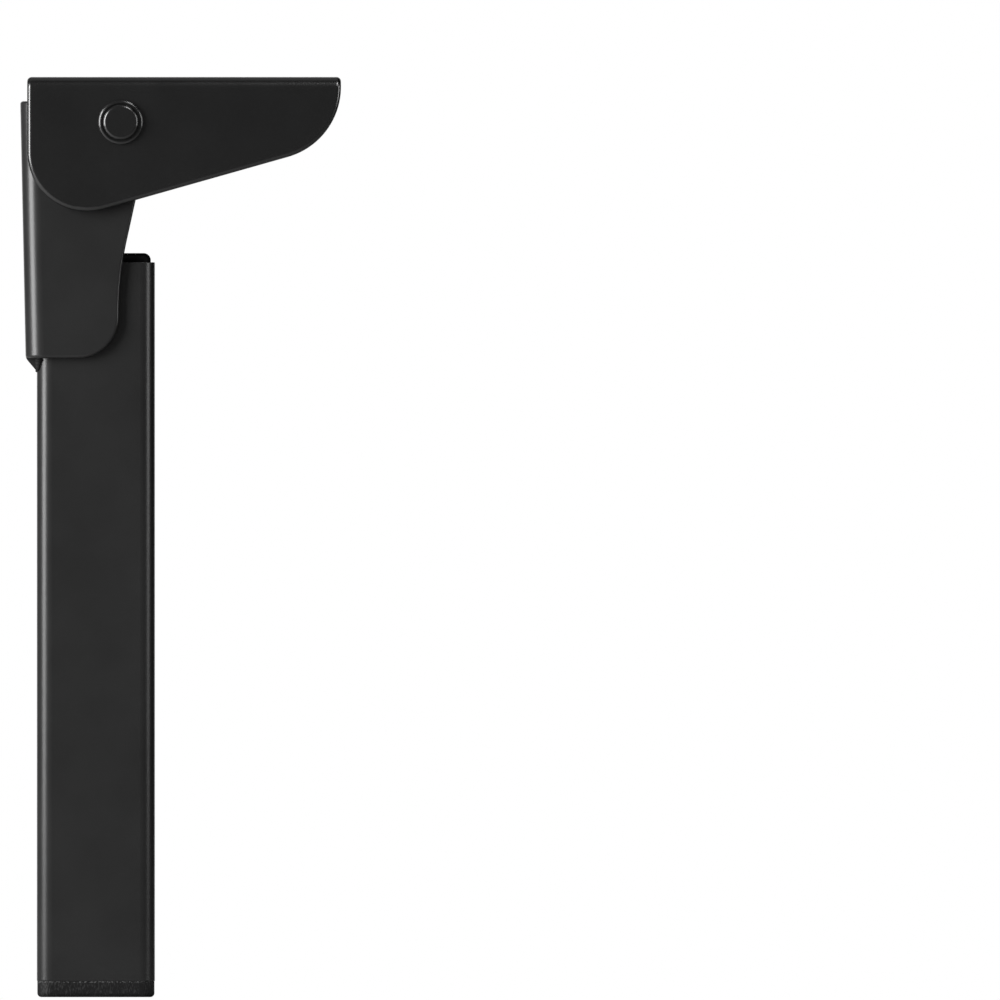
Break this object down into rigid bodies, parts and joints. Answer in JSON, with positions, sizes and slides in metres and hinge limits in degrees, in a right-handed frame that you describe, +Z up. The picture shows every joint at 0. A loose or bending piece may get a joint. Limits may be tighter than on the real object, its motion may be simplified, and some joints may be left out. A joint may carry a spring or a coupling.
{
  "type": "folding table leg",
  "caption": "Short square steel table leg that folds up sideways in a riveted sheet-metal bracket with a sprung latch, with a plastic foot cap.",
  "frame": {"origin": "centre of the four screw holes, on the face that meets the table", "axes": "+Z up, out of the mounting face and along the unfolded leg; +X towards the side to which the foot folds up; Y across, along the pivot"},
  "size_m": [0.1087, 0.0574, 0.3119],
  "materials": {
    "powder_coat": "black powder coat, semi-matt, on steel",
    "foot_plastic": "black moulded plastic with a fine grain",
    "plug_plastic": "black moulded plastic, matt",
    "washer_plastic": "natural nylon",
    "zinc_steel": "bright zinc plate on steel",
    "spring_steel": "drawn spring wire, lightly oiled"
  },
  "bodies": {
    "mount": {"mounting_bracket": "powder_coat", "pivot_rivet": "powder_coat", "head_washer_front": "powder_coat", "head_washer_back": "powder_coat"},
    "leg": {"swing_bracket": "powder_coat", "leg_tube": "powder_coat", "tube_top_plug": "plug_plastic", "foot_cap": "foot_plastic", "pivot_sleeve": "zinc_steel", "friction_washer_front": "washer_plastic", "friction_washer_back": "washer_plastic", "latch_pin": "zinc_steel", "latch_spacer_front": "zinc_steel", "latch_spacer_back": "zinc_steel", "latch_spring": "spring_steel"},
    "latch": {"latch_lever": "zinc_steel"}
  },
  "joints": [
    {"name": "leg_fold", "type": "hinge", "parent": "mount", "child": "leg", "pos_m": [-0.0215, 0, -0.0153], "axis": [0, -1, 0], "range_deg": [0, 90]},
    {"name": "latch_release", "type": "hinge", "parent": "leg", "child": "latch", "pos_m": [-0.0415, 0, -0.0323], "axis": [0, 1, 0], "range_deg": [0, 9], "stiffness_Nm_per_rad": 0.3, "springref_deg": -20.05, "deforming": ["latch_spring"]}
  ]
}
